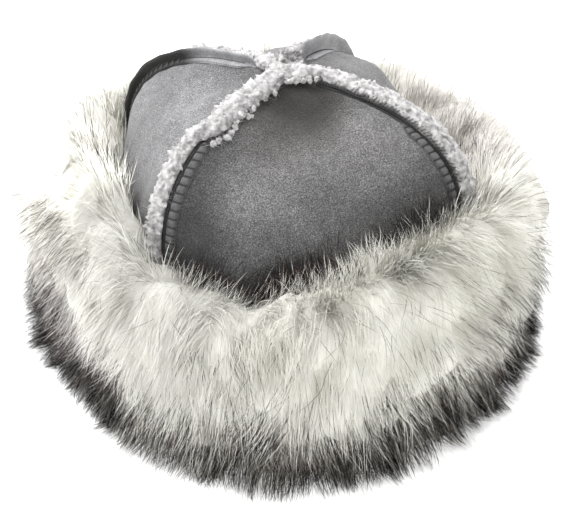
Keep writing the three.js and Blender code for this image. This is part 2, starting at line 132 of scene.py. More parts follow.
# The pile all round. Its dark fringe: reach in millimetres, share of dark hairs and length. Its top: lean
# over the crown and comb along the cuff in degrees, rise of the inner roots in millimetres, fullness and
# length
ROUND = named("angle lean reach dark fringe comb rise full crest", [
    (0, 4, 52, 0.85, 1.0, 8, 0, 0.2, 0.80),
    (40, 4, 48, 0.85, 1.0, 10, 0, 0.2, 0.74),
    (75, 4, 46, 0.85, 1.0, 8, 0, 0.2, 0.80),
    (110, 6, 48, 0.85, 1.0, 5, 0, 0.2, 0.92),
    (145, -8, 70, 0.8, 1.04, -12, 0, 0.6, 1.0),
    (165, -26, 118, 1.0, 1.0, -24, 4, 1.0, 1.08),
    (184, -24, 120, 1.0, 0.84, -34, 12, 1.0, 1.1),
    (198, -22, 104, 0.95, 0.76, -48, 17, 1.0, 1.05),
    (210, -14, 80, 0.9, 0.78, -48, 13, 1.0, 1.0),
    (218, 2, 68, 0.78, 0.88, -8, 4, 0.4, 1.0),
    (226, 6, 64, 0.74, 0.95, 32, 0, 0.2, 1.0),
    (240, 2, 62, 0.74, 1.0, 34, 0, 0.2, 1.0),
    (256, 0, 66, 0.78, 1.0, 24, 0, 0.2, 1.0),
    (272, 0, 70, 0.80, 0.98, 10, 0, 0.1, 1.0),
    (290, 2, 88, 0.9, 0.90, -10, 0, 0.1, 1.0),
    (306, 0, 92, 0.9, 0.93, -24, 0, 0.1, 1.0),
    (326, 2, 114, 1.0, 0.88, -12, 0, 0.3, 0.95),
    (340, 4, 118, 1.0, 0.86, 0, 0, 0.4, 0.88),
    (350, 4, 68, 0.85, 0.92, 4, 0, 0.3, 0.84),
    (360, 4, 52, 0.85, 1.0, 8, 0, 0.2, 0.80),
])

# Share of the pile's locks below each angle: they stand closer on the left, where the pile is combed apart
LOCKS = named("below angle", [(0.0, 0), (0.165, 60), (0.30, 130), (0.385, 160), (0.60, 216), (1.0, 360)])

# Dark hairs of the collar, which at the front also stand in for a painted shadow where the crown meets the
# cuff, and dark-tipped ones on the cuff's face: angle, width and strength
COLLAR_PATCHES = [
    (233, 11, 1.0), (252, 10, 1.0), (269, 8, 0.5), (303, 12, 1.0), (204, 12, 0.2),
    (182, 12, 0.15), (100, 24, 0.25), (30, 20, 0.2), (350, 18, 0.3), (323, 9, 0.4),
]
FACE_PATCHES = [(192, 14, 0.8), (291, 9, 0.35), (318, 10, 0.2), (240, 8, 0.15)]

# Hairs, the locks and groups that they stand in, and the shares of a hair that are its root and the
# pile's thick
CLUMPS = 1700
STRANDS = 85200
GUARD_GROUPS = 440
COLLAR_GROUPS = 70
GUARD_HAIRS_A_GROUP = 14
STRAND_STEPS = 4
ROOT_SHARE = 0.3
BASE_SHARE = 0.5
FULL_BASE_SHARE = 0.6
HAIR_REACH = 178.0
CUFF_MIDDLE_RADIUS = 122.0
SHADE_COLUMNS = 32
SOFT_NORMAL = 0.8
BASE_COLUMNS = 110
BASE_ROWS = 48
WAVES = 26
LEAST_LENGTH = 1e-9
LOCK_WIDTH = 4.8
FLOOR_CLEARANCE = 0.8
rng = np.random.default_rng(41)


def smoothstep(low, high, value):
    part = np.clip((value - low) / (high - low), 0, 1)
    return part * part * (3 - 2 * part)


def unit(vectors, least=0.0):
    """The same directions with a length of one."""
    return vectors / (np.linalg.norm(vectors, axis=-1, keepdims=True) + least)


def waves(points, size, seed):
    """Smooth random relief of about one, with bumps of about the given size."""
    random = np.random.default_rng(seed)
    heading = unit(random.normal(size=(WAVES, 3)))
    pitch = 2 * math.pi / (size * random.uniform(0.75, 1.6, WAVES))
    phase = random.uniform(0, 2 * math.pi, WAVES)
    return np.sin(points @ (heading * pitch[:, None]).T + phase).sum(-1) / math.sqrt(WAVES / 2)


# The crown's surface
def panel_span(index):
    """Angle where a panel starts, and the angle that it covers."""
    return SEAM_ANGLE[index], (SEAM_ANGLE[(index + 1) % 4] - SEAM_ANGLE[index]) % 360


def plan_at(angle):
    """Panel, place across it, plan radius and boxiness at each angle."""
    turned = (np.asarray(angle)[..., None] - SEAM_ANGLE) % 360
    index = turned.argmin(-1)
    after = (index + 1) % 4
    across = turned.min(-1) / panel_span(index)[1]
    corner = SEAM_RADIUS[index] + (SEAM_RADIUS[after] - SEAM_RADIUS[index]) * across
    square = SEAM_BOXINESS[index] + (SEAM_BOXINESS[after] - SEAM_BOXINESS[index]) * across
    side = PANEL_BOXINESS[index]
    edge = np.abs(2 * across - 1) ** SIDE_FLATNESS
    return index, across, SIDE_RADIUS + (corner - SIDE_RADIUS) * edge, side + (square - side) * edge


def crown_point(angle, profile, inset=0.0):
    """Points of the crown's face. Profile runs 0 at the apex, 1 at the foot of the dome, 2 at the rim."""
    angle, profile = np.broadcast_arrays(np.asarray(angle, float), np.asarray(profile, float))
    index, across, wide, boxiness = plan_at(angle)
    power = 2 / boxiness
    bend = np.minimum(profile, 1) * math.pi / 2
    foot = APEX_HEIGHT - inset - DOME_HEIGHT
    down = np.maximum(profile - 1, 0)
    reach = np.maximum((wide - inset) * np.sin(bend) ** power - RIM_DRAW_IN * down, 0)
    height = foot + DOME_HEIGHT * np.maximum(np.cos(bend), 0) ** power + (RIM_HEIGHT - foot) * down
    edge = np.minimum(1, 6 * across * (1 - across))
    for panel, place, far, depth, spread in DENTS:
        away = (across - place) * 1.57 * np.maximum(reach, 10)
        distance = np.hypot(away, reach - far)
        push = (index == panel) * edge * depth * np.exp(-((distance / spread) ** 2))
        height = height - push * np.where(profile < 1, np.cos(bend), 0)
        reach = reach - push * np.sin(bend)
    turned = np.radians(angle)
    return np.stack([reach * np.cos(turned), reach * np.sin(turned), height], -1)


def profile_at_reach(angle, reach):
    _, _, radius, boxiness = plan_at(angle)
    ratio = np.minimum(1, reach / radius)
    return np.arcsin(ratio ** (boxiness / 2)) / (math.pi / 2)


def crown_normal(angle, profile):
    step = 0.02
    middle = np.maximum(profile, 3 * step)
    along = crown_point(angle, middle + step) - crown_point(angle, middle - step)
    around = crown_point(angle + 1, middle) - crown_point(angle - 1, middle)
    return unit(np.cross(along, around))


def seam_stations(seam, spacing):
    """Profiles at even distances along a seam, their share of the way to the fur, and the seam's length."""
    start = float(profile_at_reach(SEAM_ANGLE[seam], STRIP_START))
    profile = np.arange(start, 2, 0.002)
    points = crown_point(SEAM_ANGLE[seam], profile)
    keep = points[:, 2] >= STRIP_END_HEIGHT
    profile, points = profile[keep], points[keep]
    length = np.concatenate([[0], np.cumsum(np.linalg.norm(np.diff(points, axis=0), axis=1))])
    share = np.linspace(0, 1, int(round(length[-1] / spacing)) + 1)
    return np.interp(share * length[-1], length, profile), share, length[-1]


def beside_seam(seam, profile, across, up):
    """Points beside a seam: across is the distance from it, up is the height over the crown's face."""
    profile, across, up = np.broadcast_arrays(profile, across, up)
    on_seam = crown_point(SEAM_ANGLE[seam], profile)
    reach = np.hypot(on_seam[..., 0], on_seam[..., 1])
    angle = SEAM_ANGLE[seam] + np.degrees(np.arctan2(across, reach))
    domed = profile_at_reach(angle, np.hypot(reach, across))
    used = domed + (profile - domed) * np.clip((reach - 45) / 30, 0, 1)
    return crown_point(angle, used) + crown_normal(angle, used) * up[..., None]


# For each kind of piece, its finish and the kind of solid that it stands for
KINDS = {
    "crown_panel": ("suede", "panel"),
    "stitched_edge": ("stitched_edge", "seam_edge"),
    "fleece_strip": ("fleece", "seam_fleece"),
    "fur_pile": ("fur", "fur_cuff"),
    "fur_base": ("fur", "fur_cuff"),
}


def add_object(name, data):
    made = bpy.data.objects.new(name, data)
    bpy.context.scene.collection.objects.link(made)
    return made


def piece(kind, side, points, faces, shade, materials, picks=None, normals=None):
    """Makes a mesh from points in millimetres, lists of faces and a place on the maps for each point."""
    name = kind + "_" + side
    mesh = bpy.data.meshes.new(name)
    loops = np.concatenate([f.ravel() for f in faces]).astype(np.int32)
    sizes = np.concatenate([np.full(len(f), f.shape[1]) for f in faces])
    starts = np.concatenate([[0], np.cumsum(sizes)[:-1]]).astype(np.int32)
    metres = ((points + CENTRE) / 1000).astype(np.float32)
    mesh.vertices.add(len(points))
    mesh.vertices.foreach_set("co", metres.ravel())
    mesh.loops.add(len(loops))
    mesh.loops.foreach_set("vertex_index", loops)
    mesh.polygons.add(len(sizes))
    mesh.polygons.foreach_set("loop_start", starts)
    mesh.polygons.foreach_set("use_smooth", np.full(len(sizes), True))
    for material in materials:
        mesh.materials.append(material)
    if picks is not None:
        mesh.polygons.foreach_set("material_index", np.asarray(picks, np.int32))
    flat = np.asarray(shade, np.float32)[loops].ravel()
    for label in ("OFBake", "Surface"):
        mesh.uv_layers.new(name=label).uv.foreach_set("vector", flat)
    mesh.update(calc_edges=True)
    if normals is not None:
        mesh.normals_split_custom_set_from_vertices(normals)
    made = add_object(name, mesh)
    slot, solid = KINDS[kind]
    nodes = [solid + "_" + side]
    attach(made, "root")
    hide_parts(*nodes)


def grid_faces(rows, columns, closed=False):
    """Four-sided faces over a grid of points, closed round its columns if asked."""
    row = np.arange(rows - 1)[:, None]
    column = np.arange(columns if closed else columns - 1)[None, :]
    a = row * columns + column
    b = row * columns + (column + 1) % columns
    return np.stack([a, b, b + columns, a + columns], -1).reshape(-1, 4)


def grid_shade(rows, columns, left=0.01, right=0.99):
    """Places on the maps for a grid of points."""
    v, u = np.meshgrid(np.linspace(0.01, 0.99, rows), np.linspace(left, right, columns), indexing="ij")
    return np.stack([u, v], -1).reshape(-1, 2)


class Parts:
    """Collects the grids of one piece."""

    def __init__(self):
        self.points, self.faces, self.shade, self.picks = [], [], [], []
        self.total = 0

    def add(self, points, faces, shade, pick=0):
        self.points.append(points)
        self.faces.append(faces + self.total)
        self.shade.append(shade)
        self.picks.append(np.full(len(faces), pick))
        self.total += len(points)

    def band(self, rows, flipped, right):
        """Adds a band whose section is closed, with its maps' place up to the right."""
        faces = grid_faces(*rows.shape[:2], closed=True)
        if flipped:
            faces = faces[:, ::-1]
        self.add(rows.reshape(-1, 3), faces, grid_shade(*rows.shape[:2], right=right))

    def piece(self, kind, side, materials):
        points, shade, picks = (np.concatenate(some) for some in (self.points, self.shade, self.picks))
        piece(kind, side, points, self.faces, shade, materials, picks)


def tubes(centres, radius, sides, left):
    """Thin open tubes along many short paths of equal step count."""
    count, steps = centres.shape[:2]
    along = unit(np.gradient(centres, axis=1), LEAST_LENGTH)
    helper = np.where(np.abs(along[..., 2:3]) > 0.85, [1.0, 0.0, 0.0], [0.0, 0.0, 1.0])
    side = unit(np.cross(along, helper), LEAST_LENGTH)
    over = np.cross(side, along)
    turn = (np.arange(sides) * 2 * math.pi / sides)[:, None]
    ring = side[:, :, None] * np.cos(turn) + over[:, :, None] * np.sin(turn)
    points = centres[:, :, None] + ring * radius
    faces = grid_faces(steps, sides, closed=True)[None] + (np.arange(count) * steps * sides)[:, None, None]
    where = rng.uniform((left, 0.02), (0.97, 0.97), (count, 1, 1, 2))
    spread = np.stack(np.meshgrid(np.linspace(0, 0.012, sides), np.linspace(0, 0.012, steps)), -1)
    return points.reshape(-1, 3), faces.reshape(-1, 4), (where + spread).reshape(-1, 2)


# Materials
def rgba(shade):
    """A colour from three numbers, or a grey from one."""
    return (*shade, 1.0) if isinstance(shade, tuple) else (shade, shade, shade, 1.0)


class Look:
    """Builds one material's nodes."""

    def __init__(self, name, roughness, sheen=0.0, specular=0.3):
        self.material = bpy.data.materials.new(name)
        self.material.use_nodes = True
        self.tree = self.material.node_tree
        self.shader = self.tree.nodes["Principled BSDF"]
        self.shader.inputs["Roughness"].default_value = roughness
        self.shader.inputs["Sheen Weight"].default_value = sheen
        self.shader.inputs["Sheen Roughness"].default_value = 0.6
        self.shader.inputs["Specular IOR Level"].default_value = specular
        self.place = self.node("TexCoord").outputs["Object"]

    def put(self, socket, value):
        """Links a socket to an output, or gives it a value."""
        if isinstance(value, bpy.types.NodeSocket):
            self.tree.links.new(value, socket)
        else:
            socket.default_value = value

    def node(self, kind, **inputs):
        """Makes a node with the given inputs, in whose names a low line stands for a space."""
        node = self.tree.nodes.new("ShaderNode" + kind)
        for name, value in inputs.items():
            self.put(node.inputs[name.replace("_", " ")], value)
        return node

    def noise(self, scale, detail=2.0, roughness=0.55, place=None):
        place = place or self.place
        node = self.node("TexNoise", Scale=scale, Detail=detail, Roughness=roughness, Vector=place)
        return node.outputs["Fac"]

    def ramp(self, source, *stops):
        node = self.node("ValToRGB", Fac=source)
        while len(node.color_ramp.elements) < len(stops):
            node.color_ramp.elements.new(0.5)
        for element, (position, shade) in zip(node.color_ramp.elements, stops):
            element.position = position
            element.color = rgba(shade)
        return node.outputs["Color"]

    def mix(self, factor, first, second, blend="MIX"):
        node = self.node("Mix")
        node.data_type = "RGBA"
        node.blend_type = blend
        self.put(node.inputs[0], factor)
        for socket, value in ((node.inputs[6], first), (node.inputs[7], second)):
            self.put(socket, value if isinstance(value, bpy.types.NodeSocket) else rgba(value))
        return node.outputs[2]

    def times(self, first, second):
        return self.mix(1.0, first, second, "MULTIPLY")

    def math(self, operation, first, second, kind="Math", output=0):
        node = self.node(kind)
        node.operation = operation
        self.put(node.inputs[0], first)
        self.put(node.inputs[1], second)
        return node.outputs[output]

    def clamped(self, value):
        return self.math("MINIMUM", self.math("MAXIMUM", value, 0.0), 1.0)

    def axes(self, source):
        return self.node("SeparateXYZ", Vector=source).outputs

    def surface(self):
        """Places on the surface map."""
        node = self.node("UVMap")
        node.uv_map = "Surface"
        return node.outputs["UV"]

    def falling(self, source, full, none):
        """1 up to the first value of the source, falling to 0 at the second."""
        node = self.node("MapRange", Value=source, From_Min=full, From_Max=none, To_Min=1.0, To_Max=0.0)
        node.interpolation_type = "SMOOTHSTEP"
        return node.outputs["Result"]

    def tinted(self, colour, places):
        """The colour, tinted near each place: its centre, full and outer radius in metres, and tint."""
        for centre, full, none, tint in places:
            distance = self.math("DISTANCE", self.place, centre, "VectorMath", "Value")
            colour = self.mix(self.falling(distance, full, none), colour, self.times(colour, tint))
        return colour

    def colour(self, source):
        self.put(self.shader.inputs["Base Color"], source)

    def bump(self, height, strength, distance):
        node = self.node("Bump", Strength=strength, Distance=distance, Height=height)
        self.put(self.shader.inputs["Normal"], node.outputs["Normal"])


# Painted light and shade on the front and left panels, as Look.tinted takes them: a painted shadow in the
# hollow under the apex that is partly a real stain, painted shade beside the front left seam, in the lower
# left corner and at the lower right, and painted light in the middle, the upper right, low in the middle and
# on the left panel
PANEL_PAINTED_LIGHT_AND_STAIN = [
    ((0.003, -0.023, 0.174), 0.012, 0.042, (0.20, 0.185, 0.175)),
    ((-0.009, -0.034, 0.170), 0.012, 0.048, (0.74, 0.72, 0.70)),
    ((-0.060, -0.058, 0.160), 0.005, 0.022, 0.70),
    ((-0.068, -0.066, 0.146), 0.005, 0.022, 0.72),
    ((-0.073, -0.072, 0.126), 0.010, 0.036, 0.36),
    ((0.060, -0.083, 0.141), 0.008, 0.040, 0.82),
    ((-0.027, -0.062, 0.161), 0.006, 0.044, 1.22),
    ((0.040, -0.061, 0.167), 0.006, 0.046, (1.25, 1.24, 1.23)),
    ((-0.039, -0.076, 0.146), 0.006, 0.040, 1.14),
    ((-0.080, 0.010, 0.142), 0.040, 0.072, (1.4, 1.4, 1.43)),
]

# Painted light and shade on the pile, as Look.tinted takes them: painted shade low on the front, on the
# lower left, the front left, the right and the back, and painted light on the left crest
PILE_PAINTED_LIGHT_AND_SHADE = [
    ((0.02, -0.165, 0.045), 0.08, 0.18, (0.88, 0.88, 0.87)),
    ((-0.165, -0.030, 0.020), 0.05, 0.09, (0.72, 0.71, 0.73)),
    ((-0.110, -0.085, 0.080), 0.03, 0.09, (0.84, 0.84, 0.845)),
    ((0.150, 0.030, 0.095), 0.05, 0.12, (0.86, 0.845, 0.855)),
    ((0.0, 0.190, 0.060), 0.10, 0.20, (0.80, 0.80, 0.795)),
    ((-0.115, -0.010, 0.120), 0.03, 0.07, 1.12),
]


def suede_look():
    look = Look("suede", 0.9, sheen=0.22, specular=0.2)
    fine = look.noise(1450, 3.0, 0.75)
    grain = look.ramp(fine, (0.36, (0.058, 0.058, 0.060)), (0.5, (0.150, 0.149, 0.151)),
                      (0.64, (0.36, 0.36, 0.365)))
    mottle = look.ramp(look.noise(190, 3.0), (0.35, 0.78), (0.65, 1.0))
    broad = look.ramp(look.noise(26, 3.0), (0.36, (0.76, 0.755, 0.75)), (0.62, 1.0))
    # Painted light and shade over the grain, with the stain in the hollow under the apex
    look.colour(look.tinted(look.times(look.times(grain, mottle), broad), PANEL_PAINTED_LIGHT_AND_STAIN))
    look.bump(look.math("ADD", fine, look.noise(1500)), 0.8, 0.0006)
    return look.material


def lining_look():
    look = Look("fleece_lining", 1.0, sheen=0.3, specular=0.1)
    tufts = look.noise(330, 4.0, 0.65)
    look.colour(look.ramp(tufts, (0.3, (0.42, 0.41, 0.40)), (0.5, (0.68, 0.67, 0.66)),
                          (0.68, (0.82, 0.81, 0.80))))
    look.bump(tufts, 1.0, 0.003)
    return look.material


def fleece_look():
    look = Look("fleece_curls", 1.0, sheen=0.3, specular=0.1)
    look.colour(look.ramp(look.noise(260, 3.0), (0.32, (0.25, 0.245, 0.245)), (0.5, (0.54, 0.53, 0.53)),
                          (0.66, (0.72, 0.71, 0.71))))
    look.bump(look.noise(1300, 3.0), 1.0, 0.0010)
    return look.material


def edging_look(name, fin_shade, shades):
    """Folded suede, lighter and darker along the seam: stops of place along the edge and brightness."""
    look = Look("suede_edging_" + name, 0.6, sheen=0.06, specular=0.4)
    fine = look.noise(900, 3.0, 0.7)
    grain = look.ramp(fine, (0.35, (0.60, 0.60, 0.61)), (0.52, (0.95, 0.95, 0.96)), (0.7, 1.0))
    place = look.axes(look.surface())
    along = look.ramp(place["Y"], *[(stop, (shade, shade, shade * 1.02)) for stop, shade in shades])
    worn = look.ramp(look.noise(150, 3.0), (0.4, 0.78), (0.65, 1.0))
    fin = look.ramp(place["X"], (0.20, fin_shade), (0.25, 1.0))
    look.colour(look.times(look.times(look.times(grain, along), worn), fin))
    look.bump(fine, 0.4, 0.0004)
    return look.material


def thread_look():
    look = Look("seam_thread", 0.6, sheen=0.1, specular=0.4)
    twist = look.noise(2600)
    look.colour(look.ramp(twist, (0.35, (0.012, 0.012, 0.013)), (0.65, (0.05, 0.048, 0.047))))
    look.bump(twist, 0.6, 0.0002)
    return look.material


def fur_base_look():
    """The thick of the pile: fine streaks that run with the hairs, darker towards the sole."""
    look = Look("fur_base", 0.9, specular=0.1)
    drawn_out = look.math("MULTIPLY", look.surface(), (8.0, 330.0, 1.0), "VectorMath")
    streaks = look.noise(1.0, 3.0, 0.6, drawn_out)
    cream = look.ramp(streaks, (0.3, (0.64, 0.62, 0.57)), (0.48, (0.80, 0.785, 0.73)),
                      (0.7, (0.87, 0.86, 0.81)))
    broad = look.ramp(look.noise(90, 3.0), (0.35, 0.88), (0.6, 1.0))
    # The cream of the thick carries the pile's painted light and shade.
    pale = look.tinted(look.times(cream, broad), PILE_PAINTED_LIGHT_AND_SHADE)
    brown = look.ramp(streaks, (0.46, (0.018, 0.014, 0.012)), (0.57, (0.46, 0.42, 0.38)))
    low = look.falling(look.axes(look.place)["Z"], 0.008, 0.044)
    look.colour(look.mix(low, pale, brown))
    look.bump(streaks, 0.8, 0.0012)
    return look.material


def fur_look():
    """Hair colour from the map: from cream through dark-tipped to black across it, root to tip up it."""
    look = Look("fur_hairs", 0.75, sheen=0.02, specular=0.06)
    place = look.axes(look.surface())
    cream = look.ramp(look.noise(60), (0.35, (0.81, 0.795, 0.73)), (0.65, (0.89, 0.88, 0.83)))
    # The dark part of a hair starts nearer its root the further right its column is.
    start = look.math("SUBTRACT", 1.45, look.math("MULTIPLY", place["X"], 1.5))
    dark = look.math("MULTIPLY", look.math("SUBTRACT", place["Y"], start), 4.0)
    # The cream of the hairs carries the pile's painted light and shade.
    brown = look.mix(look.clamped(dark), look.tinted(cream, PILE_PAINTED_LIGHT_AND_SHADE), (0.13, 0.092, 0.078))
    black = look.math("MULTIPLY", look.math("SUBTRACT", place["Y"], look.math("ADD", start, 0.1)), 3.5)
    look.colour(look.mix(look.clamped(black), brown, (0.010, 0.008, 0.008)))
    return look.material


# Camera: azimuth, line of sight down to the crown's top, distance to it, and how many pixels down the
# picture the top lies
CAMERA_AZIMUTH = -15.0
SIGHT_DOWN = 31.0
SIGHT_DISTANCE = 0.80
LENS = 88.0
SENSOR = 36.0
PICTURE = (570, 523)
TOP_IN_PICTURE = 72

# Area lights: name, place, size and power
LIGHTS = [
    ("key", (-1.2, 0.7, 1.3), 1.0, 34),
    ("fill", (0.5, -1.5, 1.2), 1.4, 7),
    ("rim", (0.9, 1.2, 1.0), 1.0, 26),
    ("top", (-0.6, -0.2, 1.7), 1.0, 12),
]
LIT_POINT = Vector((0, 0, 0.09))
FLOOR_HALF = 6.0


def make_camera():
    top = Vector(((np.array([0, 0, APEX_HEIGHT]) + CENTRE) / 1000).tolist())
    turn = math.radians(CAMERA_AZIMUTH)
    sight = math.radians(SIGHT_DOWN)
    back = Vector((math.sin(turn) * math.cos(sight), -math.cos(turn) * math.cos(sight), math.sin(sight)))
    lens_pixels = LENS / SENSOR * PICTURE[0]
    dip = math.atan((PICTURE[1] / 2 - TOP_IN_PICTURE) / lens_pixels)
    data = bpy.data.cameras.new("camera")
    data.lens = LENS
    data.sensor_width = SENSOR
    camera = add_object("camera", data)
    camera.location = top + back * SIGHT_DISTANCE
    camera.rotation_euler = (math.pi / 2 - sight - dip, 0.0, turn)
    bpy.context.scene.camera = camera


def make_stage():
    """A plain white floor, pale air, and soft lights mostly from behind and above."""
    data = bpy.data.meshes.new("floor")
    corners = [(x * FLOOR_HALF, y * FLOOR_HALF, 0) for x, y in ((-1, -1), (1, -1), (1, 1), (-1, 1))]
    data.from_pydata(corners, [], [(0, 1, 2, 3)])
    floor = add_object("floor", data)
    material = bpy.data.materials.new("floor")
    material.use_nodes = True
    shader = material.node_tree.nodes["Principled BSDF"]
    shader.inputs["Base Color"].default_value = rgba(0.95)
    shader.inputs["Roughness"].default_value = 0.9
    shader.inputs["Specular IOR Level"].default_value = 0.0
    shader.inputs["Emission Color"].default_value = rgba(1.0)
    shader.inputs["Emission Strength"].default_value = 0.55
    data.materials.append(material)
    world = bpy.data.worlds.new("studio")
    bpy.context.scene.world = world
    world.use_nodes = True
    world.node_tree.nodes["Background"].inputs["Color"].default_value = rgba(1.0)
    world.node_tree.nodes["Background"].inputs["Strength"].default_value = 0.62
    for name, place, size, power in LIGHTS:
        lamp = bpy.data.lights.new(name, "AREA")
        lamp.shape = "DISK"
        lamp.size = size
        lamp.energy = power
        light = add_object(name, lamp)
        light.location = place
        light.rotation_euler = (LIT_POINT - Vector(place)).to_track_quat("-Z", "Y").to_euler()


# Crown panels: how near the apex they start, and how many of their rows are on the straight wall
PANEL_COLUMNS = 72
PANEL_ROWS = 56
WALL_ROWS = 12
PANEL_START = 0.035


def panel_face(index, inset):
    """Points of a panel's outer face, dented and puckered along its seams, or of its fleecy inner face."""
    start, span = panel_span(index)
    dome = PANEL_START + (1 - PANEL_START) * np.linspace(0, 1, PANEL_ROWS - WALL_ROWS)
    profile = np.concatenate([dome, np.linspace(1.05, 2, WALL_ROWS)])[:, None]
    across = np.linspace(0, 1, PANEL_COLUMNS)[None, :]
    rough = crown_point(start + span * np.clip(across, 0.001, 0.999), profile, inset)
    reach = np.maximum(np.hypot(rough[..., 0], rough[..., 1]), 0.8)
    slack = np.degrees(HALF_GAP / reach)
    angle = start + slack + (span - 2 * slack) * across
    points = crown_point(angle, profile, inset)
    away = np.minimum(across, 1 - across) * np.radians(span) * reach
    if inset:
        curls = 0.7 * waves(points, 9, 31 + index) * smoothstep(2, 8, away)
        relief = 1.4 * (1 - smoothstep(0, 5, away)) + curls
        relief = relief * smoothstep(2.0, 1.9, np.broadcast_to(profile, reach.shape)) * (reach > 8)
    else:
        inner = smoothstep(2, 26, away)
        relief = 1.5 * inner * waves(points, 62, 5 + index) + 0.45 * inner * waves(points, 21, 15 + index)
        along = np.cumsum(np.linalg.norm(np.diff(points, axis=0, prepend=points[:1]), axis=2), axis=0)
        pucker = np.exp(-((away - 10) / 7) ** 2) * np.sin(along * 2 * math.pi / (3.1 * STITCH_PITCH))
        relief = relief + 0.35 * pucker * smoothstep(20, 40, reach)
    return (points + crown_normal(angle, np.minimum(profile, 1.9)) * relief[..., None]).reshape(-1, 3)


def make_panels(suede, lining):
    count = PANEL_ROWS * PANEL_COLUMNS
    outer = grid_faces(PANEL_ROWS, PANEL_COLUMNS)
    border = np.concatenate([
        np.arange(PANEL_COLUMNS),
        PANEL_COLUMNS - 1 + PANEL_COLUMNS * np.arange(1, PANEL_ROWS),
        count - 1 - np.arange(1, PANEL_COLUMNS),
        PANEL_COLUMNS * np.arange(PANEL_ROWS - 2, 0, -1),
    ])
    after = np.roll(border, -1)
    faces = [outer, outer[:, ::-1] + count, np.stack([border, border + count, after + count, after], -1)]
    shade = np.concatenate([grid_shade(PANEL_ROWS, PANEL_COLUMNS, right=0.49),
                            grid_shade(PANEL_ROWS, PANEL_COLUMNS, left=0.51)])
    picks = np.repeat([0, 1, 1], [len(some) for some in faces])
    for index, name in enumerate(PANEL_NAMES):
        points = np.concatenate([panel_face(index, inset) for inset in (0.0, WALL)])
        piece("crown_panel", name, points, faces, shade, [suede, lining], picks)


# Stitched suede edges. near and far are the ladder's sides from the seam, and fin_wide a share of the
# fin's section. first, ladder_from and rungs_from are where the fin, the ladder and its thread rungs start
# along the seam, with no rungs at 1. fin_shade is the fin's shade against the ladder's, and shades run
# from the apex to the fur.
EDGES = [
    SimpleNamespace(near=1.0, far=6.0, fin_height=1.7, fin_wide=0.55, first=0.44, ladder_from=0.44,
                    rungs_from=0.44, fin_shade=0.06, pad_height=1.9,
                    shades=[(0.0, 0.13), (0.6, 0.13), (0.85, 0.10), (1.0, 0.03)]),
    SimpleNamespace(near=1.0, far=5.4, fin_height=2.3, fin_wide=0.6, first=0.08, ladder_from=0.46,
                    rungs_from=0.46, fin_shade=0.03, pad_height=1.8,
                    shades=[(0.0, 0.05), (0.35, 0.05), (0.5, 0.16), (0.8, 0.15), (0.95, 0.04)]),
    SimpleNamespace(near=2.6, far=8.2, fin_height=11.0, fin_wide=1.0, first=0.0, ladder_from=0.13,
                    rungs_from=1.0, fin_shade=1.0, pad_height=0.3,
                    shades=[(0.0, 0.28), (0.5, 0.26), (0.9, 0.14)]),
    SimpleNamespace(near=2.6, far=6.8, fin_height=7.2, fin_wide=1.0, first=0.10, ladder_from=0.13,
                    rungs_from=0.43, fin_shade=1.0, pad_height=0.3,
                    shades=[(0.0, 0.40), (0.24, 0.38), (0.36, 0.03), (1.0, 0.02)]),
]
# The fin's section, and a whip stitch over it: across the seam, and a share of the fin's height
FIN_SECTION = [(0.35, 0.08), (0.15, 0.27), (0.1, 0.55), (0.2, 0.8), (0.65, 0.95), (1.2, 1.0), (1.7, 0.94),
               (2.05, 0.76), (2.1, 0.5), (2.0, 0.24)]
WHIP = np.array([(0.0, 0.62), (0.1, 0.86), (0.65, 1.0), (1.2, 1.06), (1.75, 1.0), (2.15, 0.8), (2.2, 0.6)])
RUNG_ARCH = np.array([1.1, 1.5, 1.5, 1.45, 1.5, 1.5, 1.1])
# Shares of the ladder's width where its two rails are
RAILS = (0.02, 0.94)
EDGE_STEP = 0.8
# Pitch of the fine stitches, against that of the rungs, and the radius of their thread and of the rungs'
WHIP_PITCH = 0.42
RUNNING_PITCH = 0.34
WHIP_THREAD = 0.2
RUNNING_THREAD = 0.18
RUNG_THREAD = 0.4


def ladder_height(wide, phase, ladder, pad_height):
    """Height of the ladder over the crown's face: a puffed pad between each two rungs, beside a rail."""
    rail = np.exp(-(((wide - RAILS[1]) / 0.06) ** 2))
    between = np.clip(1 - np.abs(2 * (phase % 1) - 1) ** 3.6, 0, 1)
    pad = np.clip(1 - np.abs((wide - 0.46) / 0.45) ** 4, 0, 1) * between
    fall = smoothstep(1.05, 0.95, wide)
    return (0.7 + 0.5 * rail * ladder + pad_height * pad * ladder) * fall + 0.05


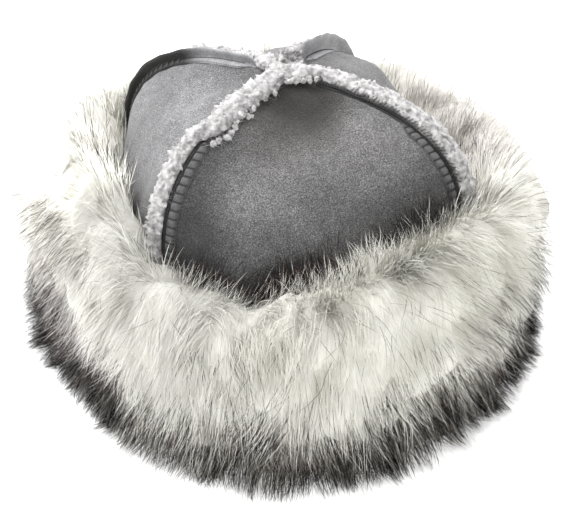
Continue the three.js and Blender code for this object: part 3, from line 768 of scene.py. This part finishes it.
def make_edge(seam, name, edge, thread):
    turn = SEAM_TURN[seam]
    profile, share, length = seam_stations(seam, EDGE_STEP)
    keep = share > edge.first
    profile, share = profile[keep], share[keep]
    phase = share * length / STITCH_PITCH
    ladder = smoothstep(edge.ladder_from - 0.01, edge.ladder_from + 0.05, share)
    grow = smoothstep(edge.first, edge.first + (0.12 if name.startswith("front") else 0.05), share)
    width = (edge.far - edge.near) * (0.22 + 0.78 * ladder)
    ends = 0.25 + 0.75 * smoothstep(0, 0.014, share - share[0]) * smoothstep(0, 0.014, share[-1] - share)
    lean = 0.1 * edge.fin_height + 0.4 * np.sin(phase * 0.7 + seam) * grow
    fall = 1 - 0.3 * np.clip((share - 0.6) / 0.4, 0, 1)
    fin = edge.fin_height * (0.5 + 0.5 * grow) * ends * fall + 0.25 * np.sin(phase * 1.9)
    thick = edge.fin_wide * (1 + 0.7 * smoothstep(0.72, 1.0, share))
    rows = [(across * thick + lean * up, 0.1 + up * fin) for across, up in FIN_SECTION]
    rows += [(edge.near + width * wide, ladder_height(wide, phase, ladder, edge.pad_height) * ends)
             for wide in np.linspace(0.02, 1.06, 20)]
    rows += [(edge.near + width * wide, 0.12) for wide in (0.98, 0.5)]
    parts = Parts()
    band = np.stack([beside_seam(seam, profile, -turn * across, up) for across, up in rows], 1)
    parts.band(band, turn > 0, 0.7)

    def stitches(at, across, up, radius, sides=4):
        """Short threads: where their points are along the seam, across it and over the crown's face."""
        path = beside_seam(seam, np.interp(at, phase, profile), -turn * across, up)
        parts.add(*tubes(path, radius, sides, 0.72), pick=1)

    if edge.rungs_from < 1:
        # Rungs: a double thread across the groove between two pads.
        rungs = np.arange(math.ceil(np.interp(edge.rungs_from, share, phase)), phase[-1])[:, None]
        for skew in (-0.06, 0.06):
            at = rungs + np.full(len(RUNG_ARCH), skew)
            across = edge.near + np.interp(at, phase, width) * np.linspace(RAILS[0], 0.96, len(RUNG_ARCH))
            stitches(at, across, RUNG_ARCH, RUNG_THREAD, 5)
    if name.startswith("front"):
        # Whip stitches over the fin
        at = np.arange(phase[0] + 0.3, phase[-1] - 0.2, WHIP_PITCH)[:, None]
        at = at + np.linspace(-0.12, 0.12, len(WHIP))
        across = WHIP[:, 0] * np.interp(at, phase, thick) + np.interp(at, phase, lean) * WHIP[:, 1]
        stitches(at, across, 0.15 + WHIP[:, 1] * np.interp(at, phase, fin), WHIP_THREAD)
    # Running stitches along both rails, and along the fin's foot where there is no ladder
    first_rung = np.interp(edge.ladder_from + 0.02, share, phase)
    reach = np.linspace(-0.13, 0.13, 4)
    at = np.arange(first_rung + 0.2, phase[-1] - 0.3, RUNNING_PITCH)[:, None] + reach
    for wide in RAILS:
        across = edge.near + np.interp(at, phase, width) * wide
        stitches(at, across, np.array([0.8, 1.42, 1.42, 0.8]), RUNNING_THREAD)
    if edge.ladder_from > edge.first + 0.05:
        at = np.arange(phase[0] + 0.3, first_rung, RUNNING_PITCH)[:, None] + reach
        stitches(at, edge.near + 0.9, np.array([0.5, 1.15, 1.15, 0.5]), RUNNING_THREAD)
    parts.piece("stitched_edge", name, [edging_look(name, edge.fin_shade, edge.shades), thread])


# Fleece strips
NUB_SPACING = 3.0
FLEECE_STEP = 0.8
FIBRES_A_STRIP = 2400
BORDER_STITCH_PITCH = 2.1


def nub_shape():
    """Points and faces of a small round lump."""
    body = bmesh.new()
    bmesh.ops.create_icosphere(body, subdivisions=2, radius=1.0)
    points = np.array([list(v.co) for v in body.verts])
    faces = np.array([[v.index for v in f.verts] for f in body.faces])
    body.free()
    return points, faces


def map_spots(count, random):
    """Places on the maps for small loose things."""
    return random.uniform((0.37, 0.02), (0.93, 0.93), (count, 1, 2))


def nubs(centres, size, random):
    """Curly lumps of fleece, each with its own bumps."""
    ball, ball_faces = nub_shape()
    count = len(centres)
    own = random.uniform(-40, 40, (count, 1, 3))
    bumps = 1 + 0.20 * waves((ball[None] + own).reshape(-1, 3), 1.5, 77).reshape(count, -1, 1)
    turn = np.linalg.qr(random.normal(size=(count, 3, 3)))[0]
    turn *= np.sign(np.linalg.det(turn))[:, None, None]
    squash = np.array([1.0, 0.86, 0.74])
    lump = np.einsum("nij,nkj->nki", turn, ball[None] * bumps * squash)
    points = centres[:, None] + lump * size[:, None, None]
    faces = ball_faces[None] + (np.arange(count) * len(ball))[:, None, None]
    shade = map_spots(count, random) + 0.03 * (ball[None, :, :2] * 0.5 + 0.5)
    return points.reshape(-1, 3), faces.reshape(-1, 3), shade.reshape(-1, 2)


def fibres(roots, outward, length, random):
    """Fine curly fibres that soften the lumps."""
    count = len(roots)
    heading = unit(outward + random.normal(0, 0.75, (count, 3)))
    bend = random.normal(0, 0.8, (count, 3))
    share = np.linspace(0, 1, 4)[None, :, None]
    path = roots[:, None] + (heading[:, None] + bend[:, None] * share) * share * length[:, None, None]
    side = unit(np.cross(heading, random.normal(size=(count, 3))))
    half = side[:, None] * np.array([0.13, 0.12, 0.09])[None, :, None]
    pairs = np.stack([path[:, :3] - half, path[:, :3] + half], 2).reshape(count, 6, 3)
    points = np.concatenate([pairs, path[:, 3:]], 1)
    strip = np.array([(0, 1, 3), (0, 3, 2), (2, 3, 5), (2, 5, 4), (4, 5, 6)])
    faces = strip[None] + (np.arange(count) * 7)[:, None, None]
    spread = np.array([(0, 0), (1, 0), (0, 1), (1, 1), (0, 2), (1, 2), (0.5, 3)]) * 0.008
    return points.reshape(-1, 3), faces.reshape(-1, 3), (map_spots(count, random) + spread).reshape(-1, 2)


# Ragged tufts that hang over the front panel, and those heaped at the apex: seam, share of the way along
# it, distance out from it, height, and size
TUFTS = np.array([
    (0, 0.06, -7.6, 4.0, 1.9), (0, 0.12, -8.2, 3.6, 2.1), (0, 0.18, -8.0, 3.4, 2.0),
    (0, 0.24, -8.6, 3.2, 2.3), (0, 0.28, -10.2, 2.6, 2.2), (0, 0.31, -8.6, 3.6, 2.5),
    (0, 0.34, -8.0, 3.4, 2.0), (0, 0.37, -8.8, 3.0, 2.3), (0, 0.40, -10.0, 2.4, 2.4),
    (0, 0.425, -9.6, 2.4, 2.3), (0, 0.445, -8.0, 2.6, 2.4), (0, 0.46, -6.0, 3.0, 2.4),
    (1, 0.0, -7.0, 4.6, 2.6), (1, 0.02, -8.6, 4.0, 2.6), (1, 0.04, -10.0, 3.0, 2.4),
    (1, 0.055, -9.4, 3.8, 2.4), (1, 0.075, -7.6, 4.2, 2.4), (1, 0.09, -5.4, 4.6, 2.3),
    (1, 0.11, -3.4, 5.0, 2.2), (1, 0.13, -1.6, 5.6, 2.0), (2, 0.0, 1.0, 7.5, 2.4),
    (2, 0.02, -1.5, 8.0, 2.6), (2, 0.03, 2.5, 8.5, 2.6), (2, 0.045, 0.0, 9.0, 2.6),
    (2, 0.06, -2.0, 7.6, 2.4), (2, 0.07, 1.5, 8.0, 2.5), (2, 0.015, 3.5, 6.5, 2.4),
    (3, 0.01, 1.0, 7.5, 2.4),
])
LUMPS_A_TUFT = 3


def make_strip(seam, name, fleece, thread):
    table, turn = FLEECE[seam], SEAM_TURN[seam]
    random = np.random.default_rng(300 + seam)
    parts = Parts()
    profile, share, length = seam_stations(seam, FLEECE_STEP)

    def spot(place, over, lift):
        """Points of the strip: over is 0 at its near border and 1 at its far one, lift a share of height."""
        near, far, high = (read(table, column, place) for column in ("near", "far", "height"))
        across = turn * (near + (far - near) * over)
        return beside_seam(seam, np.interp(place, share, profile), across, 0.5 + high * lift)

    # The body of the strip: a felted band with round lumps all over
    turned = np.linspace(0, math.pi, 22)
    top = np.stack([0.5 - 0.48 * np.cos(turned), 0.06 + 0.72 * np.sin(turned) ** 0.6], -1)
    section = np.concatenate([top, [(0.7, 0.02), (0.3, 0.02)]])
    body = spot(share[:, None], section[:, 0], section[:, 1])
    outward = unit(body - body.mean(1, keepdims=True))
    lumps = 0.9 * np.abs(waves(body, 6.5, 120 + seam)) + 0.95 * np.abs(waves(body, 3.4, 130 + seam))
    body = body + outward * ((lumps - 0.75) * smoothstep(0.04, 0.3, section[:, 1]))[..., None]
    parts.band(body, turn > 0, 0.35)
    # Curls that stand out of it, more of them along its borders
    rows = int(length / NUB_SPACING)
    place, over = [], []
    for row in range(rows):
        at = (row + 0.5) / rows
        wide = read(table, "far", at) - read(table, "near", at)
        columns = max(3, int(round(wide / NUB_SPACING)))
        place.append(np.full(columns, at))
        over.append((np.arange(columns) + 0.5 + 0.5 * (row % 2 - 0.5)) / columns)
    place, over = np.concatenate(place), np.concatenate(over)
    count = len(place)
    place = np.clip(place + random.normal(0, 1.0, count) / length, 0, 1)
    crown = 0.06 + 0.72 * (1 - (np.abs(over - 0.5) * 2) ** 2) ** 0.3
    over = np.clip(over + random.normal(0, 0.06, count), -0.03, 1.03)
    centre = spot(place, over, crown * random.uniform(0.55, 1.02, count))
    smaller = (0.35 if seam == 0 else 0) * smoothstep(0.25, 0.6, over)
    size = random.uniform(0.75, 1.35, count) * (1 - smaller)
    tuft = np.repeat(TUFTS[TUFTS[:, 0] == seam], LUMPS_A_TUFT, axis=0)
    spots = beside_seam(seam, np.interp(tuft[:, 1], share, profile), turn * tuft[:, 2], tuft[:, 3])
    centre = np.concatenate([centre, spots + random.normal(0, 0.8, spots.shape)])
    size = np.concatenate([size, tuft[:, 4] * random.uniform(0.5, 0.85, len(tuft))])
    parts.add(*nubs(centre, size, random))
    chosen = random.integers(0, len(centre), FIBRES_A_STRIP)
    outward = unit(random.normal(size=(FIBRES_A_STRIP, 3)))
    outward[:, 2] = np.abs(outward[:, 2])
    roots = centre[chosen] + outward * size[chosen][:, None] * 0.75
    parts.add(*fibres(roots, outward, random.uniform(1.2, 2.6, FIBRES_A_STRIP), random))
    # A line of small stitches binds one border: the far one at the front left seam, else the near one.
    low, high, border, shift = (0.05, 0.44, "far", 0.9) if seam == 0 else (0.1, 0.98, "near", 0.1)
    step = np.arange(low, high, BORDER_STITCH_PITCH / length)[:, None]
    step = step + np.linspace(-0.8, 0.8, 4)[None, :] / length
    across = turn * (read(table, border, step) + shift)
    path = beside_seam(seam, np.interp(step, share, profile), across, np.array([1.0, 2.4, 3.4, 4.2]))
    parts.add(*tubes(path, 0.2, 4, 0.37), pick=1)
    parts.piece("fleece_strip", name, [fleece, thread])


# Fur cuff
def shape_at(angle, name):
    """A column of the cuff's shape at each angle, with smooth steps between the rows."""
    turned = np.asarray(angle, float) % 360
    known, values = CUFF_SHAPE["angle"], CUFF_SHAPE[name]
    after = np.clip(np.searchsorted(known, turned, "right"), 1, len(known) - 1)
    part = (turned - known[after - 1]) / (known[after] - known[after - 1])
    return values[after - 1] + (values[after] - values[after - 1]) * part * part * (3 - 2 * part)


def cuff_point(angle, out, up):
    """Points of the cuff: out is 0 at the crown wall and 1 at the core radius."""
    foot = APEX_HEIGHT - DOME_HEIGHT
    down = np.clip((foot - up) / (foot - RIM_HEIGHT), 0, 1)
    inner = plan_at(angle)[2] + CUFF_GAP - RIM_DRAW_IN * down
    reach = inner + (CORE_RADIUS + shape_at(angle, "past") - inner) * out
    lifted = np.minimum(1, (up / FULL_RISE_UP) ** 2) * np.minimum(1, out / FULL_RISE_OUT)
    risen = up + shape_at(angle, "rise") * lifted
    turned = np.radians(angle)
    return np.stack([reach * np.cos(turned), reach * np.sin(turned), risen], -1)


def patches(angle, table):
    """Strength of dark patches round the hat."""
    total = np.zeros(np.shape(angle))
    for middle, width, strength in table:
        away = (angle - middle + 180) % 360 - 180
        total = total + strength * np.exp(-((away / width) ** 4))
    return np.minimum(total, 1.0)


def round_at(angle, name):
    return read(ROUND, name, angle % 360)


def root_at(angle, place):
    return cuff_point(angle, read(PILE, "out", place), read(PILE, "up", place))


def long_at(angle, place):
    """Length of the pile at each place, with what changes all round."""
    fringe = 1 - (1 - round_at(angle, "fringe")) * smoothstep(0.5, 0.8, place)
    crest = 1 - (1 - round_at(angle, "crest")) * smoothstep(0.62, 0.4, place)
    return read(PILE, "length", place) * fringe * crest


def flow(angle, place):
    """Slow changes of the pile's direction over the cuff: sideways and upwards, in degrees."""
    root = root_at(angle, place)
    combed = round_at(angle, "comb") * smoothstep(0.44, 0.2, place)
    aside = 10 * waves(root, 58, 7) + 6 * waves(root, 24, 8) + combed
    return aside, 6 * waves(root, 46, 9) + 4 * waves(root, 20, 10)


def headings(angle, pitch, aside):
    """Directions at each angle round the hat: degrees of pitch upwards, and aside along the cuff."""
    turned = np.radians(angle)
    tilt = np.radians(pitch)
    along = np.tan(np.radians(np.clip(aside, -66, 66)))
    move = np.stack([
        np.cos(tilt) * np.cos(turned) - along * np.sin(turned),
        np.cos(tilt) * np.sin(turned) + along * np.cos(turned),
        np.sin(tilt),
    ], -1)
    return unit(move)


def hair_paths(angle, place, sway, lift, length, curl):
    """Points along hairs: sway turns a hair sideways, lift upwards, and curl bends it on its way."""
    aside, upwards = flow(angle, place)
    lean = round_at(angle, "lean") * smoothstep(0.46, 0.16, place)
    pitch = read(PILE, "pitch", place) + lean + (lift + upwards) * smoothstep(1.04, 0.9, place)
    root = root_at(angle, place)
    root[..., 2] += round_at(angle, "rise") * smoothstep(0.54, 0.1, place)
    path = [root + headings(angle, pitch, aside + sway) * (length * ROOT_SHARE)[:, None]]
    for step in range(STRAND_STEPS):
        share = (step + 0.5) / STRAND_STEPS
        bent = pitch + (read(PILE, "bend", place) + curl[:, 0]) * share
        move = headings(angle, bent, aside + sway + curl[:, 1] * share)
        path.append(path[-1] + move * (length * (1 - ROOT_SHARE) / STRAND_STEPS)[:, None])
    return np.stack(path, 1)


def clear_of_crown(path, proud):
    """Moves points that would lie inside the crown out to its face, further out over a seam."""
    angle = np.degrees(np.arctan2(path[..., 1], path[..., 0]))
    _, _, wide, boxiness = plan_at(angle)
    high = np.clip((path[..., 2] - APEX_HEIGHT + DOME_HEIGHT) / DOME_HEIGHT, 0, 1)
    off_seam = np.abs((angle[..., None] - SEAM_ANGLE - 3 * np.array(SEAM_TURN) + 180) % 360 - 180).min(-1)
    over_seam = 7 * np.exp(-((off_seam / 6) ** 2))
    face = wide * (1 - high ** boxiness) ** (1 / boxiness) + proud[:, None] + over_seam
    scale = np.maximum(1, face / np.hypot(path[..., 0], path[..., 1]))
    return path * np.stack([scale, scale, np.ones_like(scale)], -1)


def within_reach(path):
    """Shortens the hairs that would end too far from the hat's axis."""
    far = np.hypot(path[..., 0], path[..., 1])
    limit = HAIR_REACH - rng.uniform(0, 7, len(path))
    keep = np.clip((limit - far[:, 0]) / np.maximum(far[:, -1] - far[:, 0], 1.0), 0.3, 1.0)
    return path[:, :1] + (path - path[:, :1]) * keep[:, None, None]


def ribbons(path, width, column, roll):
    """Flat tapered hairs that face away from the hat, their places on the shade map, and soft normals."""
    count, steps = path.shape[:2]
    along = unit(np.gradient(path, axis=1))
    middle = path[:, :1] * np.array([0.84, 0.84, 0.0]) + np.array([0.0, 0.0, 46.0])
    facing = path - middle
    side = unit(np.cross(along, facing))
    over = np.cross(side, along)
    side = side * np.cos(roll)[:, None, None] + over * np.sin(roll)[:, None, None]
    soft = SOFT_NORMAL * unit(facing) + (1 - SOFT_NORMAL) * over
    half = width[:, None] * np.array([0.5, 0.5, 0.42, 0.3])[None, :]
    left = path[:, :-1] - side[:, :-1] * half[..., None]
    right = path[:, :-1] + side[:, :-1] * half[..., None]
    points = np.concatenate([np.stack([left, right], 2).reshape(count, -1, 3), path[:, -1:]], 1)
    normals = unit(np.concatenate([np.repeat(soft[:, :-1], 2, axis=1), soft[:, -1:]], 1))
    each = 2 * (steps - 1) + 1
    base = (np.arange(count) * each)[:, None, None]
    rung = np.arange(steps - 2)[:, None] * 2
    quads = (rung + np.array([0, 1, 3, 2]))[None] + base
    tips = np.array([[each - 3, each - 2, each - 1]])[None] + base
    v = np.append(np.repeat(np.linspace(0.02, 0.98, steps)[:-1], 2), 0.98)
    u = np.append(np.tile([-0.5, 0.5], steps - 1), 0.0) * (0.7 / SHADE_COLUMNS)
    shade = np.stack(np.broadcast_arrays(column[:, None] + u[None, :], v[None, :]), -1)
    faces = [quads.reshape(-1, 4), tips.reshape(-1, 3)]
    return points.reshape(-1, 3), faces, shade.reshape(-1, 2), normals.reshape(-1, 3)


def pile_hairs():
    """Angles, paths, widths and map columns of the pile, gathered in locks."""
    clump_angle = read(LOCKS, "angle", rng.uniform(0, 1, CLUMPS))
    # More hairs grow on the crest, where the pile fans out.
    clump_place = np.interp(rng.uniform(0, 1, CLUMPS), [0, 0.19, 0.54, 0.75, 1], [0, 0.27, 0.58, 0.8, 1])
    clump_sway, clump_lift = rng.normal(0, 7, CLUMPS), rng.normal(0, 5, CLUMPS)
    clump_long = rng.uniform(0.84, 1.12, CLUMPS)
    clump_dark = rng.normal(0, 0.1, CLUMPS)
    clump_curl = rng.normal(0, 12, (CLUMPS, 2))
    owner = rng.integers(0, CLUMPS, STRANDS)
    scatter = rng.normal(0, 1, (STRANDS, 2))
    angle = clump_angle[owner] + np.degrees(scatter[:, 0] * LOCK_WIDTH / CUFF_MIDDLE_RADIUS)
    place = np.clip(clump_place[owner] + scatter[:, 1] * 0.03, 0.0, 1.0)
    # The hairs of the collar lie more loosely than those of the face.
    loose = smoothstep(0.42, 0.26, place)
    own_long = rng.uniform(0.72 - 0.18 * loose, 1.08 + 0.1 * loose)
    length = long_at(angle, place) * clump_long[owner] * own_long
    # Where the hairs against the crown are dark they are longer than the pale ones among them.
    collar = smoothstep(0.33, 0.22, place) * patches(angle, COLLAR_PATCHES)
    of_collar = rng.random(STRANDS) < collar
    length = length * np.where(of_collar, 1.16, 1 - 0.3 * collar)
    wild = np.where(rng.random(STRANDS) < 0.09, 2.4, 1.0) * (1 + 0.9 * loose)
    own = hair_paths(angle, place, clump_sway[owner] * (1 + loose) + rng.normal(0, 4, STRANDS) * wild,
                     clump_lift[owner] + rng.normal(0, 3.2, STRANDS) * wild, length,
                     clump_curl[owner] + rng.normal(0, 8, (STRANDS, 2)) * wild[:, None])
    clump_length = long_at(clump_angle, clump_place) * clump_long
    axis = hair_paths(clump_angle, clump_place, clump_sway, clump_lift, clump_length, clump_curl)
    share = np.linspace(0, 1, STRAND_STEPS + 1)[None, :, None]
    gather = (0.4 + 0.16 * smoothstep(0.6, 0.85, place)) * np.where(wild > 2, 0.3, 1.0) * (1 - 0.45 * loose)
    # Hairs of a clump meet at a height along its axis that suits their own length.
    ratio = np.clip(length / clump_length[owner], 0, 1)[:, None, None]
    target = axis[owner][:, :1] + (axis[owner] - axis[owner][:, :1]) * ratio
    path = own + (target - own) * gather[:, None, None] * share ** 1.3
    path = clear_of_crown(within_reach(path), rng.uniform(1.6, 5.0, STRANDS))
    path[..., 2] = np.maximum(path[..., 2], 0.7 + rng.uniform(0, 1.2, STRANDS)[:, None])
    # Dark hairs: in the fringe, thinly everywhere, and in the patches of the face and collar
    tip = path[:, -1, 2]
    reach = round_at(angle, "reach") * (1 + 0.7 * clump_dark[owner])
    outside = smoothstep(0.33, 0.48, place)
    fringe = round_at(angle, "dark") * smoothstep(1.1 * reach, 0.2 * reach, tip) * outside
    thin = 0.03 + 0.05 * smoothstep(0.5, 0.8, place)
    face = smoothstep(0.38, 0.46, place) * smoothstep(0.82, 0.72, place) * patches(angle, FACE_PATCHES)
    is_dark = of_collar | (rng.random(STRANDS) < np.maximum(np.maximum(fringe, thin), face))
    low = smoothstep(0.8 * reach, 0.2 * reach, tip) * outside
    depth = np.clip(0.66 + 0.16 * low + clump_dark[owner] + rng.normal(0, 0.09, STRANDS), 0.44, 0.97)
    depth = np.where(of_collar, np.clip(depth + 0.2 * collar, 0, 0.97), depth)
    column = np.where(is_dark, depth, rng.uniform(0.02, 0.3, STRANDS) + 0.24 * low)
    width = rng.uniform(0.24, 0.46, STRANDS) * np.where(is_dark, 0.85, 1.0)
    return angle, path, width, column


def guard_hairs():
    """Long fine dark hairs over the whole pile, in loose groups."""
    total = GUARD_GROUPS * GUARD_HAIRS_A_GROUP
    group = np.repeat(np.arange(GUARD_GROUPS), GUARD_HAIRS_A_GROUP)
    group_angle = rng.uniform(0, 360, GUARD_GROUPS)
    group_place = np.interp(rng.uniform(0, 1, GUARD_GROUPS), [0, 0.6, 1], [0.02, 0.68, 0.97])
    # The first groups stand against the crown, in the dark patches of the collar.
    middle, wide, strength = np.array(COLLAR_PATCHES).T
    patch = rng.choice(len(middle), COLLAR_GROUPS, p=strength / strength.sum())
    group_angle[:COLLAR_GROUPS] = middle[patch] + rng.normal(0, 0.55, COLLAR_GROUPS) * wide[patch]
    group_place[:COLLAR_GROUPS] = rng.uniform(0.04, 0.2, COLLAR_GROUPS)
    by_crown = np.where(group < COLLAR_GROUPS, 1.0, 0.0)
    turned = rng.normal(0, 1, (GUARD_GROUPS, 2)) * np.array([17, 8])
    angle = group_angle[group] + rng.normal(0, 5.0, total)
    place = np.clip(group_place[group] + rng.normal(0, 0.045, total), 0.0, 0.97)
    longest = 1.35 - 0.15 * smoothstep(0.7, 0.9, place)
    length = long_at(angle, place) * rng.uniform(0.95, longest, total) * (1 + 0.2 * by_crown)
    sway = turned[group, 0] + rng.normal(0, 10, total)
    lift = turned[group, 1] + rng.normal(3, 4, total) + 8 * by_crown
    path = hair_paths(angle, place, sway, lift, length, rng.normal(0, 20, (total, 2)))
    path = clear_of_crown(within_reach(path), rng.uniform(2.0, 6.0, total))
    path[..., 2] = np.maximum(path[..., 2], FLOOR_CLEARANCE)
    return angle, path, rng.uniform(0.17, 0.28, total) + 0.1 * by_crown, rng.uniform(0.66, 0.95, total)


def fur_base(start, span):
    """The thick of the pile round one panel: its outer face, and back under the cuff to the wall."""
    turn, place = np.meshgrid(start + span * np.linspace(0, 1, BASE_COLUMNS), np.linspace(0, 1, BASE_ROWS),
                              indexing="ij")
    rim = turn[:, :1]
    turn, place = turn.ravel(), place.ravel()
    count = len(turn)
    # The thick of the pile is combed along the cuff much less than the hairs.
    combed = -0.45 * round_at(turn, "comb") * smoothstep(0.44, 0.2, place)
    path = hair_paths(turn, place, combed, np.zeros(count), long_at(turn, place), np.zeros((count, 2)))
    full = round_at(turn, "full") * smoothstep(0.62, 0.4, place)
    thick = BASE_SHARE + (FULL_BASE_SHARE - BASE_SHARE) * full - 0.13 * smoothstep(0.7, 0.86, place)
    part = (thick - ROOT_SHARE) / (1 - ROOT_SHARE) * STRAND_STEPS
    step = np.minimum(part.astype(int), STRAND_STEPS - 1)
    each = np.arange(count)
    skin = path[each, step] + (path[each, step + 1] - path[each, step]) * (part - step)[:, None]
    outward = unit(path[:, 1] - path[:, 0])
    across = np.radians(turn) * CUFF_MIDDLE_RADIUS
    locks = 1.9 * waves(np.stack([across, place * 78, 0 * place], -1), 11, 91) + 1.4 * waves(skin, 30, 92)
    edge = smoothstep(0.0, 0.1, place) * smoothstep(1.0, 0.92, place)
    skin = skin + outward * (locks * edge)[:, None]
    skin = clear_of_crown(skin[:, None], np.full(count, 0.9)).reshape(BASE_COLUMNS, BASE_ROWS, 3)
    inward = cuff_point(rim, np.full((1, 3), 0.02), np.array([[4.0, 40.0, 74.0]]))
    skin = np.concatenate([skin, inward], 1)
    skin[..., 2] = np.maximum(skin[..., 2], FLOOR_CLEARANCE)
    return skin


def make_fur(base_look, hair_look):
    pile, guard = pile_hairs(), guard_hairs()
    angle, path, width, column = (np.concatenate([a, b]) for a, b in zip(pile, guard))
    roll = rng.normal(0, 0.2, len(angle))
    column = (np.floor(column * SHADE_COLUMNS) + 0.5) / SHADE_COLUMNS
    quarter = ((angle[:, None] - SEAM_ANGLE) % 360).argmin(-1)
    for index, name in enumerate(PANEL_NAMES):
        pick = quarter == index
        points, faces, shade, normals = ribbons(path[pick], width[pick], column[pick], roll[pick])
        piece("fur_pile", name, points, faces, shade, [hair_look], normals=normals)
        skin = fur_base(*panel_span(index))
        faces = [grid_faces(BASE_COLUMNS, skin.shape[1], closed=True)]
        shade = grid_shade(BASE_COLUMNS, skin.shape[1])
        piece("fur_base", name, skin.reshape(-1, 3), faces, shade, [base_look])


make_camera()
make_stage()
suede, lining, thread = suede_look(), lining_look(), thread_look()
make_panels(suede, lining)
for seam, name in enumerate(SEAM_NAMES):
    make_edge(seam, name, EDGES[seam], thread)
fleece = fleece_look()
for seam, name in enumerate(SEAM_NAMES):
    make_strip(seam, name, fleece, thread)
make_fur(fur_base_look(), fur_look())
bpy.context.scene.view_settings.view_transform = "Standard"
